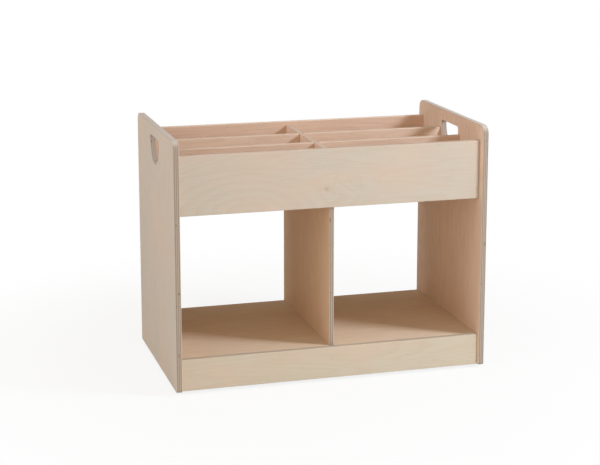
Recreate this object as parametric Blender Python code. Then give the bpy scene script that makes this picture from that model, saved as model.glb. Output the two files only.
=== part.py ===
"""Book trolley: a birch plywood browser box for picture books on four concealed castors.

Metres, +Z up, +X along the long side, the front faces -Y. The origin is on the floor under
the middle of the trolley. The trolley stands on its castors, and its boards end just above
the floor.
"""

import math

import bmesh
import bpy
from mathutils import Matrix, Vector

# Cabinet
WIDTH = 0.800
DEPTH = 0.460
SIDE_HEIGHT = 0.620
GROUND_GAP = 0.008
PLINTH_HEIGHT = 0.080
BASE_SETBACK = 0.010
BIN_SETBACK = 0.020

# Plywood
PLY = 0.015
THIN_PLY = 0.012
FLOOR_PLY = 0.009
EDGE_ROUND = 0.002

# Side panels
CORNER_RADIUS = 0.022
FOOT_RADIUS = 0.006
HAND_HOLE_WIDTH = 0.116
HAND_HOLE_DEPTH = 0.066
HAND_HOLE_DROP = 0.030
HAND_HOLE_CORNER = 0.008

# Book bins
BIN_PANEL_HEIGHT = 0.148
BIN_DROP = 0.039
DIVIDER_DROP = 0.010
FLOOR_REBATE = 0.007
HOUSING = 0.005
FOOT_HOUSING = 0.003

# Dowels
DOWEL_DIAMETER = 0.008
DOWEL_LENGTH = 0.030
THIN_DOWEL_DIAMETER = 0.006
DOWEL_CHAMFER = 0.0008
DOWEL_INSET = 0.022
WIDE_DOWEL_INSET = 0.070
WOOD_BEHIND_DOWEL = 0.005
WOOD_OVER_THIN_DOWEL = 0.003

# Castors
WHEEL_DIAMETER = 0.050
TYRE_WIDTH = 0.020
TYRE_DEPTH = 0.0045
TYRE_SHOULDER = 0.003
HUB_WIDTH = 0.021
HUB_WALL = 0.005
RIM_WIDTH = 0.018
RIM_WALL = 0.0025
WEB = 0.006
AXLE_DIAMETER = 0.008
AXLE_HEAD = 0.0025
AXLE_HEAD_DIAMETER = 0.013
AXLE_BOSS_DIAMETER = 0.020
TRAIL = 0.022
FORK_SHEET = 0.0025
FORK_BEND = 0.005
FORK_RACE_RISE = 0.001
CROWN_DIAMETER = 0.034
KINGPIN_DIAMETER = 0.009
KINGPIN_HEAD = 0.002
KINGPIN_HEAD_DIAMETER = 0.015
PLATE_SIZE = 0.060
PLATE_SHEET = 0.0025
PLATE_CORNER = 0.008
RACE_DEPTH = 0.0045
SCREW_SPACING = 0.044
SCREW_HOLE_DIAMETER = 0.0055
CASTOR_INSET = 0.075

# Clearances
FIT = 0.0003
RUN = 0.0004

# Facets
CORNER_STEPS = 6
HOLE_STEPS = 14
BEND_STEPS = 3
ROUND_STEPS = 2
SHOULDER_STEPS = 2
DOWEL_SIDES = 8
SCREW_SIDES = 10
PIN_SIDES = 16
TURNED_SIDES = 24
WHEEL_SIDES = 28
SHARP_DEGREES = 35
WELD = 1e-6

# Levels and faces that several boards share
SIDE_BOTTOM = GROUND_GAP
SIDE_TOP = SIDE_BOTTOM + SIDE_HEIGHT
SHELF_TOP = SIDE_BOTTOM + PLINTH_HEIGHT
SHELF_BOTTOM = SHELF_TOP - PLY
BIN_TOP = SIDE_TOP - BIN_DROP
BIN_BOTTOM = BIN_TOP - BIN_PANEL_HEIGHT
FLOOR_TOP = BIN_BOTTOM + FLOOR_PLY
DIVIDER_TOP = BIN_TOP - DIVIDER_DROP
LAP_LEVEL = (FLOOR_TOP + DIVIDER_TOP) / 2
SIDE_FACE = WIDTH / 2 - PLY
BASE_FACE = DEPTH / 2 - BASE_SETBACK
BASE_INSIDE = BASE_FACE - PLY
BIN_FACE = DEPTH / 2 - BIN_SETBACK
BIN_INSIDE = BIN_FACE - PLY
BOARD_END = SIDE_FACE - FIT
ROW_DEPTH = (2 * BIN_INSIDE - 2 * THIN_PLY) / 3
ROW_DIVIDER_Y = (ROW_DEPTH + THIN_PLY) / 2

# Castor levels, from the floor up
WHEEL_RADIUS = WHEEL_DIAMETER / 2
AXLE_LEVEL = WHEEL_RADIUS * math.cos(math.pi / WHEEL_SIDES)
PLATE_TOP = SHELF_BOTTOM - FIT
PLATE_BOTTOM = PLATE_TOP - PLATE_SHEET
RACE_BOTTOM = PLATE_BOTTOM - RACE_DEPTH
CROWN_TOP = RACE_BOTTOM - RUN
FORK_TOP = CROWN_TOP - FORK_RACE_RISE
FORK_UNDER = FORK_TOP - FORK_SHEET
FORK_INSIDE = HUB_WIDTH / 2 + RUN
FORK_OUTSIDE = FORK_INSIDE + FORK_SHEET

UNITS = {"x": Vector((1, 0, 0)), "y": Vector((0, 1, 0)), "z": Vector((0, 0, 1))}
PLANES = {"x": ("y", "z"), "y": ("x", "z"), "z": ("x", "y")}


def clear_scene():
    for obj in list(bpy.data.objects):
        bpy.data.objects.remove(obj, do_unlink=True)


def finish_material(name, colour, roughness, metallic=0.0):
    material = bpy.data.materials.new(name)
    material.use_nodes = True
    shader = material.node_tree.nodes["Principled BSDF"]
    shader.inputs["Base Color"].default_value = (*colour, 1.0)
    shader.inputs["Roughness"].default_value = roughness
    shader.inputs["Metallic"].default_value = metallic
    return material


def rectangle(u0, v0, u1, v1):
    return [(u0, v0), (u1, v0), (u1, v1), (u0, v1)]


def arc(u, v, ru, rv, start, end, steps):
    """Points on an ellipse round (u, v), from one angle to another in degrees."""
    turns = [math.radians(start + (end - start) * i / steps) for i in range(steps + 1)]
    return [(u + ru * math.cos(a), v + rv * math.sin(a)) for a in turns]


def mirrored(points):
    """The same points on the other side of the middle, in the order that carries on."""
    return [(-u, v) for u, v in reversed(points)]


def plate_of(outlines, axis, start, end):
    """Flat outlines that meet along shared edges, extruded from one level to another."""
    u_axis, v_axis = PLANES[axis]
    bm = bmesh.new()
    for outline in outlines:
        corners = [u * UNITS[u_axis] + v * UNITS[v_axis] + start * UNITS[axis] for u, v in outline]
        bm.faces.new([bm.verts.new(corner) for corner in corners])
    bmesh.ops.remove_doubles(bm, verts=bm.verts[:], dist=WELD)
    grown = bmesh.ops.extrude_face_region(bm, geom=bm.faces[:])["geom"]
    raised = [part for part in grown if isinstance(part, bmesh.types.BMVert)]
    bmesh.ops.translate(bm, vec=(end - start) * UNITS[axis], verts=raised)
    bmesh.ops.recalc_face_normals(bm, faces=bm.faces[:])
    return bm


def block(low, high):
    """A box between two corners."""
    return plate_of([rectangle(low[0], low[1], high[0], high[1])], "z", low[2], high[2])


def edges_along(bm, axis, keep=lambda middle: True):
    """The edges that run along an axis and whose midpoint passes the test."""
    found = []
    for edge in bm.edges:
        first, second = (vert.co for vert in edge.verts)
        straight = abs((second - first).normalized().dot(UNITS[axis])) > 0.999
        if straight and keep((first + second) / 2):
            found.append(edge)
    return found


def rim_edges(bm, axis):
    """The edges between a flat face of a plate and the wall round it."""
    found = []
    for edge in bm.edges:
        flat = [abs(face.normal.dot(UNITS[axis])) > 0.5 for face in edge.link_faces]
        if sorted(flat) == [False, True]:
            found.append(edge)
    return found


def soften(bm, edges):
    """Rounds arrises over, as a router does before the boards are sanded."""
    bmesh.ops.bevel(
        bm,
        geom=edges,
        offset=EDGE_ROUND,
        offset_type="OFFSET",
        segments=ROUND_STEPS,
        profile=0.5,
        affect="EDGES",
        clamp_overlap=False,
    )
    return bm


def rod(bm, start, direction, length, diameter, sides):
    """Adds a straight round rod that leaves a point in a direction."""
    way = Vector(direction).normalized()
    middle = Vector(start) + way * length / 2
    turn = way.to_track_quat("Z", "Y").to_matrix().to_4x4()
    bmesh.ops.create_cone(
        bm,
        cap_ends=True,
        segments=sides,
        radius1=diameter / 2,
        radius2=diameter / 2,
        depth=length,
        matrix=Matrix.Translation(middle) @ turn,
    )


def turned(profile, sides, first_angle=0.0):
    """A closed (radius, height) profile spun round Z. Points on the axis close its ends, and
    a stretch along the axis sweeps no face, so it gets no edge."""
    bm = bmesh.new()
    ring = [bm.verts.new((radius, 0.0, height)) for radius, height in profile]
    pairs = zip(ring, ring[1:] + ring[:1])
    edges = [bm.edges.new(pair) for pair in pairs if any(vert.co.x > 0 for vert in pair)]
    bmesh.ops.rotate(bm, verts=ring, matrix=Matrix.Rotation(first_angle, 3, "Z"))
    bmesh.ops.spin(
        bm,
        geom=ring + edges,
        axis=UNITS["z"],
        cent=(0, 0, 0),
        angle=math.tau,
        steps=sides,
        use_merge=True,
    )
    bmesh.ops.remove_doubles(bm, verts=bm.verts[:], dist=WELD)
    bmesh.ops.dissolve_degenerate(bm, edges=bm.edges[:], dist=WELD)
    bmesh.ops.recalc_face_normals(bm, faces=bm.faces[:])
    return bm


def mesh_of(bm, name):
    mesh = bpy.data.meshes.new(name)
    bm.to_mesh(mesh)
    bm.free()
    return mesh


def combined(name, body, *steps):
    """A mesh after Boolean steps, each (operation, bmesh). The helper objects are removed."""
    scene = bpy.context.scene.collection
    work = bpy.data.objects.new(name, mesh_of(body, name))
    helpers = [work]
    scene.objects.link(work)
    for operation, tool in steps:
        helper = bpy.data.objects.new(name + "_tool", mesh_of(tool, name + "_tool"))
        scene.objects.link(helper)
        helpers.append(helper)
        modifier = work.modifiers.new(operation.lower(), "BOOLEAN")
        modifier.operation = operation
        modifier.solver = "EXACT"
        modifier.object = helper
    bpy.context.view_layer.update()
    graph = bpy.context.evaluated_depsgraph_get()
    result = bpy.data.meshes.new_from_object(work.evaluated_get(graph))
    result.name = name
    for helper in helpers:
        bpy.data.objects.remove(helper, do_unlink=True)
    return result


def place(name, mesh, material, location=(0, 0, 0), parent=None):
    """Puts a mesh in the scene as one named piece."""
    mesh.shade_smooth()
    mesh.set_sharp_from_angle(angle=math.radians(SHARP_DEGREES))
    if not mesh.materials:
        mesh.materials.append(material)
    piece = bpy.data.objects.new(name, mesh)
    piece.location = location
    piece.parent = parent
    bpy.context.scene.collection.objects.link(piece)
    return piece


def joint_dowels():
    """Every dowel: its name, where it leaves the first board, its direction, the depth in
    the first board and its diameter. The first board is drilled in its face, and the second
    one in its end."""
    dowels = []
    blind = PLY - WOOD_BEHIND_DOWEL
    bin_middle = BIN_FACE - PLY / 2
    base_middle = BASE_FACE - PLY / 2
    shelf_middle = SHELF_TOP - PLY / 2
    rails = (
        ("front_panel", -bin_middle, BIN_BOTTOM, BIN_TOP),
        ("back_panel", bin_middle, BIN_BOTTOM, BIN_TOP),
        ("front_plinth", -base_middle, SIDE_BOTTOM, SHELF_TOP),
        ("back_plinth", base_middle, SIDE_BOTTOM, SHELF_BOTTOM),
    )
    for side, sign in (("left", -1), ("right", 1)):
        into_board = (-sign, 0, 0)
        for board, y, low, high in rails:
            for level, z in (("lower", low + DOWEL_INSET), ("upper", high - DOWEL_INSET)):
                name = f"dowel_{board}_{side}_{level}"
                dowels.append((name, (sign * SIDE_FACE, y, z), into_board, blind, DOWEL_DIAMETER))
        for end, y in shelf_dowel_rows():
            name = f"dowel_shelf_{side}_{end}"
            dowels.append(
                (name, (sign * SIDE_FACE, y, shelf_middle), into_board, blind, DOWEL_DIAMETER)
            )
    for end, y in shelf_dowel_rows():
        foot = (0, y, SHELF_TOP)
        head = (0, y, BIN_BOTTOM)
        floor_blind = FLOOR_PLY - WOOD_OVER_THIN_DOWEL
        dowels.append((f"dowel_partition_foot_{end}", foot, (0, 0, 1), blind, THIN_DOWEL_DIAMETER))
        dowels.append(
            (f"dowel_partition_head_{end}", head, (0, 0, -1), floor_blind, THIN_DOWEL_DIAMETER)
        )
    return dowels


def shelf_dowel_rows():
    """Where dowels stand along the base shelf, from its front and back edges."""
    return (("front", -BASE_INSIDE + WIDE_DOWEL_INSET), ("back", BASE_FACE - WIDE_DOWEL_INSET))


def dowel_holes(*words):
    """One cutter for the holes of every dowel whose name holds one of the words."""
    bm = bmesh.new()
    for name, point, direction, depth, diameter in joint_dowels():
        if any(word in name for word in words):
            start = Vector(point) - Vector(direction) * (depth + FIT)
            rod(bm, start, direction, DOWEL_LENGTH + 2 * FIT, diameter + 2 * FIT, DOWEL_SIDES)
    return bm


def hand_hole(sign):
    """Half of the hand hole's outline, from its top middle round to its bottom middle: a
    straight top, a small round corner and a quarter of an ellipse."""
    half = HAND_HOLE_WIDTH / 2
    radius = HAND_HOLE_CORNER
    top = SIDE_TOP - HAND_HOLE_DROP
    shoulder = top - radius
    corner = arc(half - radius, shoulder, radius, radius, 90, 0, BEND_STEPS)
    bowl = arc(0, shoulder, half, HAND_HOLE_DEPTH - radius, 0, -90, HOLE_STEPS)
    return [(sign * y, z) for y, z in [(0, top), *corner, *bowl[1:]]]


def side_outline(sign):
    """Half of a side panel round its hand hole."""
    half = DEPTH / 2
    radius = CORNER_RADIUS
    corner = arc(half - radius, SIDE_TOP - radius, radius, radius, 0, 90, CORNER_STEPS)
    radius = FOOT_RADIUS
    foot = arc(half - radius, SIDE_BOTTOM + radius, radius, radius, -90, 0, BEND_STEPS)
    edge = [(0, SIDE_BOTTOM), *foot, *corner, (0, SIDE_TOP)]
    return [(sign * y, z) for y, z in edge] + hand_hole(sign)


def divider_housings(sign):
    """The stopped grooves that hold the ends of the row dividers in a side panel."""
    bm = bmesh.new()
    half = THIN_PLY / 2 + FIT
    faces = sorted((sign * (SIDE_FACE + HOUSING), sign * (SIDE_FACE - HOUSING)))
    for y in (-ROW_DIVIDER_Y, ROW_DIVIDER_Y):
        groove = block((faces[0], y - half, FLOOR_TOP), (faces[1], y + half, DIVIDER_TOP + FIT))
        add_to(bm, groove)
    return bm


def add_to(bm, other):
    mesh = mesh_of(other, "added")
    bm.from_mesh(mesh)
    bpy.data.meshes.remove(mesh)


def side_panel(name, sign, material):
    """A side panel: rounded corners, a hand hole, housings and blind dowel holes."""
    start, end = sorted((sign * SIDE_FACE, sign * WIDTH / 2))
    bm = plate_of([side_outline(1), side_outline(-1)], "x", start, end)
    soften(bm, rim_edges(bm, "x"))
    side = "left" if sign < 0 else "right"
    mesh = combined(
        name,
        bm,
        ("DIFFERENCE", divider_housings(sign)),
        ("DIFFERENCE", dowel_holes(f"_{side}_")),
    )
    return place(name, mesh, material)


def bin_panel(name, sign, material):
    """The front or back of the bins, cut for the bin floor and the centre divider."""
    low, high = sorted((sign * BIN_INSIDE, sign * BIN_FACE))
    bm = block((-BOARD_END, low, BIN_BOTTOM), (BOARD_END, high, BIN_TOP))
    soften(bm, edges_along(bm, "x"))
    low, high = sorted((sign * (BIN_INSIDE - PLY), sign * (BIN_INSIDE + FLOOR_REBATE)))
    rebate = block((-WIDTH, low, BIN_BOTTOM - PLY), (WIDTH, high, FLOOR_TOP + FIT))
    low, high = sorted((sign * (BIN_INSIDE - PLY), sign * (BIN_INSIDE + HOUSING)))
    half = THIN_PLY / 2 + FIT
    housing = block((-half, low, FLOOR_TOP), (half, high, DIVIDER_TOP + FIT))
    mesh = combined(
        name,
        bm,
        ("DIFFERENCE", rebate),
        ("DIFFERENCE", housing),
        ("DIFFERENCE", dowel_holes("_front_panel_" if sign < 0 else "_back_panel_")),
    )
    return place(name, mesh, material)


def bin_floor(material):
    """The thin board under all the bins, in rebates of the bin panels."""
    reach = BIN_INSIDE + FLOOR_REBATE - FIT
    bm = block((-BOARD_END, -reach, BIN_BOTTOM), (BOARD_END, reach, FLOOR_TOP))
    mesh = combined("bin_floor", bm, ("DIFFERENCE", dowel_holes("_partition_head_")))
    return place("bin_floor", mesh, material)


def centre_bin_divider(material):
    """The board across the bins, slotted from below to sit over the row dividers."""
    reach = BIN_INSIDE + HOUSING - FIT
    bottom = FLOOR_TOP + FIT
    slot = THIN_PLY / 2 + FIT
    outline = [(-reach, bottom)]
    for y in (-ROW_DIVIDER_Y, ROW_DIVIDER_Y):
        outline += [
            (y - slot, bottom),
            (y - slot, LAP_LEVEL),
            (y + slot, LAP_LEVEL),
            (y + slot, bottom),
        ]
    outline += [(reach, bottom), (reach, DIVIDER_TOP), (-reach, DIVIDER_TOP)]
    bm = plate_of([outline], "x", -THIN_PLY / 2, THIN_PLY / 2)
    soften(bm, edges_along(bm, "y", lambda middle: middle.z > DIVIDER_TOP - FIT))
    return place("centre_bin_divider", mesh_of(bm, "centre_bin_divider"), material)


def row_divider(name, y, material):
    """A board along the bins, slotted from above for the centre divider."""
    reach = SIDE_FACE + HOUSING - FIT
    bottom = FLOOR_TOP + FIT
    slot = THIN_PLY / 2 + FIT
    outline = [
        (-reach, bottom),
        (reach, bottom),
        (reach, DIVIDER_TOP),
        (slot, DIVIDER_TOP),
        (slot, LAP_LEVEL - FIT),
        (-slot, LAP_LEVEL - FIT),
        (-slot, DIVIDER_TOP),
        (-reach, DIVIDER_TOP),
    ]
    bm = plate_of([outline], "y", y - THIN_PLY / 2, y + THIN_PLY / 2)
    soften(bm, edges_along(bm, "x", lambda middle: middle.z > DIVIDER_TOP - FIT))
    return place(name, mesh_of(bm, name), material)


def centre_partition(material):
    """The upright between the two bays, housed in the base shelf. Its front edge is flush
    with the shelf's."""
    low = (-THIN_PLY / 2, -BASE_INSIDE + FIT, SHELF_TOP - FOOT_HOUSING + FIT)
    high = (THIN_PLY / 2, BASE_FACE, BIN_BOTTOM - FIT)
    bm = block(low, high)
    soften(bm, edges_along(bm, "z"))
    mesh = combined("centre_partition", bm, ("DIFFERENCE", dowel_holes("_partition_")))
    return place("centre_partition", mesh, material)


def base_shelf(material):
    """The floor of both bays, behind the front plinth and over the back one, grooved across
    for the centre partition."""
    bm = block((-BOARD_END, -BASE_INSIDE + FIT, SHELF_BOTTOM), (BOARD_END, BASE_FACE, SHELF_TOP))
    soften(bm, edges_along(bm, "x"))
    half = THIN_PLY / 2 + FIT
    groove = block((-half, -DEPTH, SHELF_TOP - FOOT_HOUSING), (half, DEPTH, SHELF_TOP + PLY))
    mesh = combined(
        "base_shelf",
        bm,
        ("DIFFERENCE", groove),
        ("DIFFERENCE", dowel_holes("_shelf_", "_partition_foot_")),
    )
    return place("base_shelf", mesh, material)


def plinth(name, sign, top, material):
    """A board on edge that hides the castors."""
    low, high = sorted((sign * BASE_INSIDE, sign * BASE_FACE))
    bm = block((-BOARD_END, low, SIDE_BOTTOM), (BOARD_END, high, top))
    soften(bm, edges_along(bm, "x"))
    mesh = combined(name, bm, ("DIFFERENCE", dowel_holes(f"_{name}_")))
    return place(name, mesh, material)


def dowel(name, point, direction, depth, diameter, material):
    """A beech dowel with chamfered ends. Its origin is where the two boards meet."""
    bm = bmesh.new()
    rod(bm, -Vector(direction) * depth, direction, DOWEL_LENGTH, diameter, DOWEL_SIDES)
    ends = [face for face in bm.faces if len(face.verts) == DOWEL_SIDES]
    rims = [edge for face in ends for edge in face.edges]
    bmesh.ops.bevel(bm, geom=rims, offset=DOWEL_CHAMFER, segments=1, affect="EDGES")
    return place(name, mesh_of(bm, name), material, location=point)


def plate_mesh():
    """A castor's screw plate with its ball race, bored for the kingpin."""
    radius = PLATE_CORNER
    middle = PLATE_SIZE / 2 - radius
    right = arc(middle, -middle, radius, radius, -90, 0, BEND_STEPS)
    right += arc(middle, middle, radius, radius, 0, 90, BEND_STEPS)
    outline = right + mirrored(right)
    race = bmesh.new()
    race_height = RACE_DEPTH + PLATE_SHEET / 2
    rod(race, (0, 0, RACE_BOTTOM), UNITS["z"], race_height, CROWN_DIAMETER, TURNED_SIDES)
    bores = bmesh.new()
    through = PLATE_SHEET + 2 * RACE_DEPTH
    for x in (-SCREW_SPACING / 2, SCREW_SPACING / 2):
        for y in (-SCREW_SPACING / 2, SCREW_SPACING / 2):
            rod(bores, (x, y, RACE_BOTTOM), UNITS["z"], through, SCREW_HOLE_DIAMETER, SCREW_SIDES)
    kingpin_bore = turned(
        [
            (0, PLATE_TOP + KINGPIN_HEAD),
            (KINGPIN_HEAD_DIAMETER / 2 + FIT, PLATE_TOP + KINGPIN_HEAD),
            (KINGPIN_HEAD_DIAMETER / 2 + FIT, PLATE_TOP - KINGPIN_HEAD - 2 * FIT),
            (KINGPIN_DIAMETER / 2 + FIT, PLATE_TOP - KINGPIN_HEAD - 2 * FIT),
            (KINGPIN_DIAMETER / 2 + FIT, RACE_BOTTOM - RACE_DEPTH),
            (0, RACE_BOTTOM - RACE_DEPTH),
        ],
        PIN_SIDES,
    )
    return combined(
        "castor_plate",
        plate_of([outline], "z", PLATE_BOTTOM, PLATE_TOP),
        ("UNION", race),
        ("DIFFERENCE", bores),
        ("DIFFERENCE", kingpin_bore),
    )


def kingpin_mesh():
    """The rivet that holds the fork under the plate: a sunk head, a shank and a lower head."""
    shank = KINGPIN_DIAMETER / 2
    head = KINGPIN_HEAD_DIAMETER / 2
    top = PLATE_TOP - FIT
    washer = FORK_UNDER - RUN
    profile = [
        (0, top),
        (head, top),
        (head, top - KINGPIN_HEAD),
        (shank, top - KINGPIN_HEAD),
        (shank, washer),
        (head, washer),
        (head, washer - KINGPIN_HEAD),
        (shank, washer - 2 * KINGPIN_HEAD),
        (0, washer - 2 * KINGPIN_HEAD),
    ]
    return mesh_of(turned(profile, PIN_SIDES), "castor_kingpin")


def fork_mesh():
    """A pressed fork: a bent channel cut to a tapering side outline, with a raised round
    crown for the balls."""
    crown = bmesh.new()
    crown_start = (0, 0, FORK_TOP - FORK_SHEET / 2)
    crown_height = FORK_SHEET / 2 + FORK_RACE_RISE
    rod(crown, crown_start, UNITS["z"], crown_height, CROWN_DIAMETER, TURNED_SIDES)
    bores = bmesh.new()
    through = 4 * FORK_OUTSIDE
    pin_start = (0, 0, FORK_UNDER - through / 2)
    axle_start = (-TRAIL, -through / 2, AXLE_LEVEL)
    rod(bores, pin_start, UNITS["z"], through, KINGPIN_DIAMETER + 2 * RUN, PIN_SIDES)
    rod(bores, axle_start, UNITS["y"], through, AXLE_DIAMETER + 2 * FIT, PIN_SIDES)
    return combined(
        "castor_fork",
        fork_channel(),
        ("INTERSECT", fork_side()),
        ("UNION", crown),
        ("DIFFERENCE", bores),
    )


def fork_channel():
    """A sheet bent down on both sides of the wheel, longer than the fork."""
    outside = FORK_BEND
    inside = FORK_BEND - FORK_SHEET
    low = AXLE_LEVEL - AXLE_BOSS_DIAMETER / 2
    outer = arc(FORK_OUTSIDE - outside, FORK_TOP - outside, outside, outside, 0, 90, BEND_STEPS)
    inner = arc(FORK_INSIDE - inside, FORK_UNDER - inside, inside, inside, 0, 90, BEND_STEPS)
    over = [(FORK_OUTSIDE, low), *outer]
    under = [(FORK_INSIDE, low), *inner]
    outline = over + mirrored(over) + (under + mirrored(under))[::-1]
    reach = TRAIL + AXLE_BOSS_DIAMETER + CROWN_DIAMETER
    return plate_of([outline], "x", -reach, reach)


def fork_side():
    """The fork from the side: the tight outline round its crown and its axle boss."""
    crown = CROWN_DIAMETER / 2 - FORK_SHEET
    boss = AXLE_BOSS_DIAMETER / 2
    skirt = FORK_UNDER - FORK_BEND
    points = rectangle(-crown, skirt, crown, CROWN_TOP)
    points += arc(-TRAIL, AXLE_LEVEL, boss, boss, 0, 360, PIN_SIDES)[1:]
    bm = bmesh.new()
    for x, z in points:
        bm.verts.new((x, -2 * FORK_OUTSIDE, z))
        bm.verts.new((x, 2 * FORK_OUTSIDE, z))
    bmesh.ops.convex_hull(bm, input=bm.verts[:])
    inner = [vert for vert in bm.verts if not vert.link_faces]
    bmesh.ops.delete(bm, geom=inner, context="VERTS")
    bmesh.ops.recalc_face_normals(bm, faces=bm.faces[:])
    return bm


def axle_mesh():
    """The axle: a shank through both fork legs with a riveted head outside each."""
    shank = AXLE_DIAMETER / 2
    head = AXLE_HEAD_DIAMETER / 2
    seat = FORK_OUTSIDE + FIT
    half = [(shank, seat), (head, seat), (shank, seat + AXLE_HEAD), (0, seat + AXLE_HEAD)]
    profile = [(r, -y) for r, y in reversed(half)] + half
    return mesh_of(turned(profile, PIN_SIDES), "castor_axle")


def wheel_core_mesh():
    """A moulded wheel centre: hub, web and rim, with a bore for the axle."""
    bore = AXLE_DIAMETER / 2 + RUN
    hub = bore + HUB_WALL
    rim = WHEEL_RADIUS - TYRE_DEPTH - FIT
    half = [
        (bore, HUB_WIDTH / 2),
        (hub, HUB_WIDTH / 2),
        (hub, WEB / 2),
        (rim - RIM_WALL, WEB / 2),
        (rim - RIM_WALL, RIM_WIDTH / 2),
        (rim, RIM_WIDTH / 2),
    ]
    profile = half + [(r, -y) for r, y in reversed(half)]
    return mesh_of(turned(profile, WHEEL_SIDES, math.pi / WHEEL_SIDES), "castor_wheel_core")


def tyre_mesh():
    """The tread: a flat band with round shoulders, bonded on the wheel centre."""
    radius = TYRE_SHOULDER
    edge = TYRE_WIDTH / 2
    shoulder = arc(WHEEL_RADIUS - radius, edge - radius, radius, radius, 90, 0, SHOULDER_STEPS)
    half = [(WHEEL_RADIUS - TYRE_DEPTH, edge), *shoulder]
    profile = half + [(r, -y) for r, y in reversed(half)]
    return mesh_of(turned(profile, WHEEL_SIDES, math.pi / WHEEL_SIDES), "castor_tyre")


def laid_along_y(mesh):
    """Turns a piece spun round Z onto the axle's direction, with a facet facing down."""
    mesh.transform(Matrix.Rotation(math.radians(-90), 4, "X"))
    return mesh


def castors(steel, plastic, rubber):
    """Four swivel castors that trail towards -X at rest. Each stands under an empty on its
    swivel axis, and its wheel turns about its own origin."""
    shapes = (
        ("castor_plate", plate_mesh(), steel, False),
        ("castor_kingpin", kingpin_mesh(), steel, False),
        ("castor_fork", fork_mesh(), steel, False),
        ("castor_axle", laid_along_y(axle_mesh()), steel, True),
        ("wheel_core", laid_along_y(wheel_core_mesh()), plastic, True),
        ("tyre", laid_along_y(tyre_mesh()), rubber, True),
    )
    swivel_x = SIDE_FACE - CASTOR_INSET
    swivel_y = BASE_INSIDE - CASTOR_INSET
    for end, y in (("front", -swivel_y), ("back", swivel_y)):
        for side, x in (("left", -swivel_x), ("right", swivel_x)):
            swivel = bpy.data.objects.new(f"{end}_{side}_castor", None)
            swivel.location = (x, y, 0)
            bpy.context.scene.collection.objects.link(swivel)
            for name, mesh, material, on_axle in shapes:
                spot = (-TRAIL, 0, AXLE_LEVEL) if on_axle else (0, 0, 0)
                place(f"{end}_{side}_{name}", mesh, material, spot, swivel)


def main():
    clear_scene()
    plywood = finish_material("birch_plywood", (0.66, 0.53, 0.40), 0.5)
    beech = finish_material("beech", (0.60, 0.42, 0.27), 0.6)
    steel = finish_material("zinc_plated_steel", (0.62, 0.63, 0.65), 0.35, 1.0)
    plastic = finish_material("grey_polypropylene", (0.24, 0.25, 0.26), 0.45)
    rubber = finish_material("grey_rubber", (0.12, 0.12, 0.13), 0.75)

    side_panel("left_side_panel", -1, plywood)
    side_panel("right_side_panel", 1, plywood)
    bin_panel("front_bin_panel", -1, plywood)
    bin_panel("back_bin_panel", 1, plywood)
    bin_floor(plywood)
    centre_bin_divider(plywood)
    row_divider("front_row_divider", -ROW_DIVIDER_Y, plywood)
    row_divider("back_row_divider", ROW_DIVIDER_Y, plywood)
    centre_partition(plywood)
    base_shelf(plywood)
    plinth("front_plinth", -1, SHELF_TOP, plywood)
    plinth("back_plinth", 1, SHELF_BOTTOM - FIT, plywood)
    for name, point, direction, depth, diameter in joint_dowels():
        dowel(name, point, direction, depth, diameter, beech)
    castors(steel, plastic, rubber)


main()
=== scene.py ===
# %% [markdown]
# A book trolley of birch plywood, dressed for its portrait. The imported solids are the frame: every
# board, dowel and castor is already in its place, in metres, with +Z up and the front facing -Y.
# This lesson adds what a solid can't show: veneer and ply edges, smooth round wheels, screws,
# light and a camera. The frame is loaded first. The dressed model has to stay inside it.

# %% Load the frame
import math

import bpy
import numpy as np
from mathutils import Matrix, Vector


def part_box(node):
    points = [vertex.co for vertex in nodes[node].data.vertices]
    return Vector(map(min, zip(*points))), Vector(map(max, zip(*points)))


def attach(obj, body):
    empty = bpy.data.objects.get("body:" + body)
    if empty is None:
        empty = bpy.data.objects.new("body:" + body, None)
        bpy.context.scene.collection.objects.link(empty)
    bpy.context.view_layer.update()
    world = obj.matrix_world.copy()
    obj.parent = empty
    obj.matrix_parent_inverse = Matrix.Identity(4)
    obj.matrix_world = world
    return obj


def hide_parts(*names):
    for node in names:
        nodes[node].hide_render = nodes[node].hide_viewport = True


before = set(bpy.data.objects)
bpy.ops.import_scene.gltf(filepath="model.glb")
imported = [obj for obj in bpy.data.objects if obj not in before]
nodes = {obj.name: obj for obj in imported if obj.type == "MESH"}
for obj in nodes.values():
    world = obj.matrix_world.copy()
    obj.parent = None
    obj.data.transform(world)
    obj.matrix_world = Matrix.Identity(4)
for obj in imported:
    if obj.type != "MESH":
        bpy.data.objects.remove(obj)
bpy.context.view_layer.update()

scene = bpy.context.scene

# %% [markdown]
# The photograph was taken from the front left, a little above the trolley. The camera could be
# placed by eye, but the straight edges of the boards fix it better: where it stands, how far it
# turns to the right and down, and its focal length. A long lens on a full-frame sensor keeps the
# uprights nearly parallel. The small vertical shift puts the trolley where the photograph has it
# without tilting the camera further.

# %% Camera
CAMERA_AT = (-1.1188, -3.8112, 1.2919)
CAMERA_YAW = 0.2800
CAMERA_PITCH = 0.1998
LENS_MM = 94.66
SENSOR_MM = 36.0
CAMERA_SHIFT = -0.1

camera_data = bpy.data.cameras.new("camera")
camera_data.lens = LENS_MM
camera_data.sensor_width = SENSOR_MM
camera_data.shift_y = CAMERA_SHIFT
camera = bpy.data.objects.new("camera", camera_data)
camera.location = CAMERA_AT
camera.rotation_euler = (math.pi / 2 - CAMERA_PITCH, 0.0, -CAMERA_YAW)
scene.collection.objects.link(camera)
scene.camera = camera
print("camera:", LENS_MM, "mm lens at", CAMERA_AT)
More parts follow.
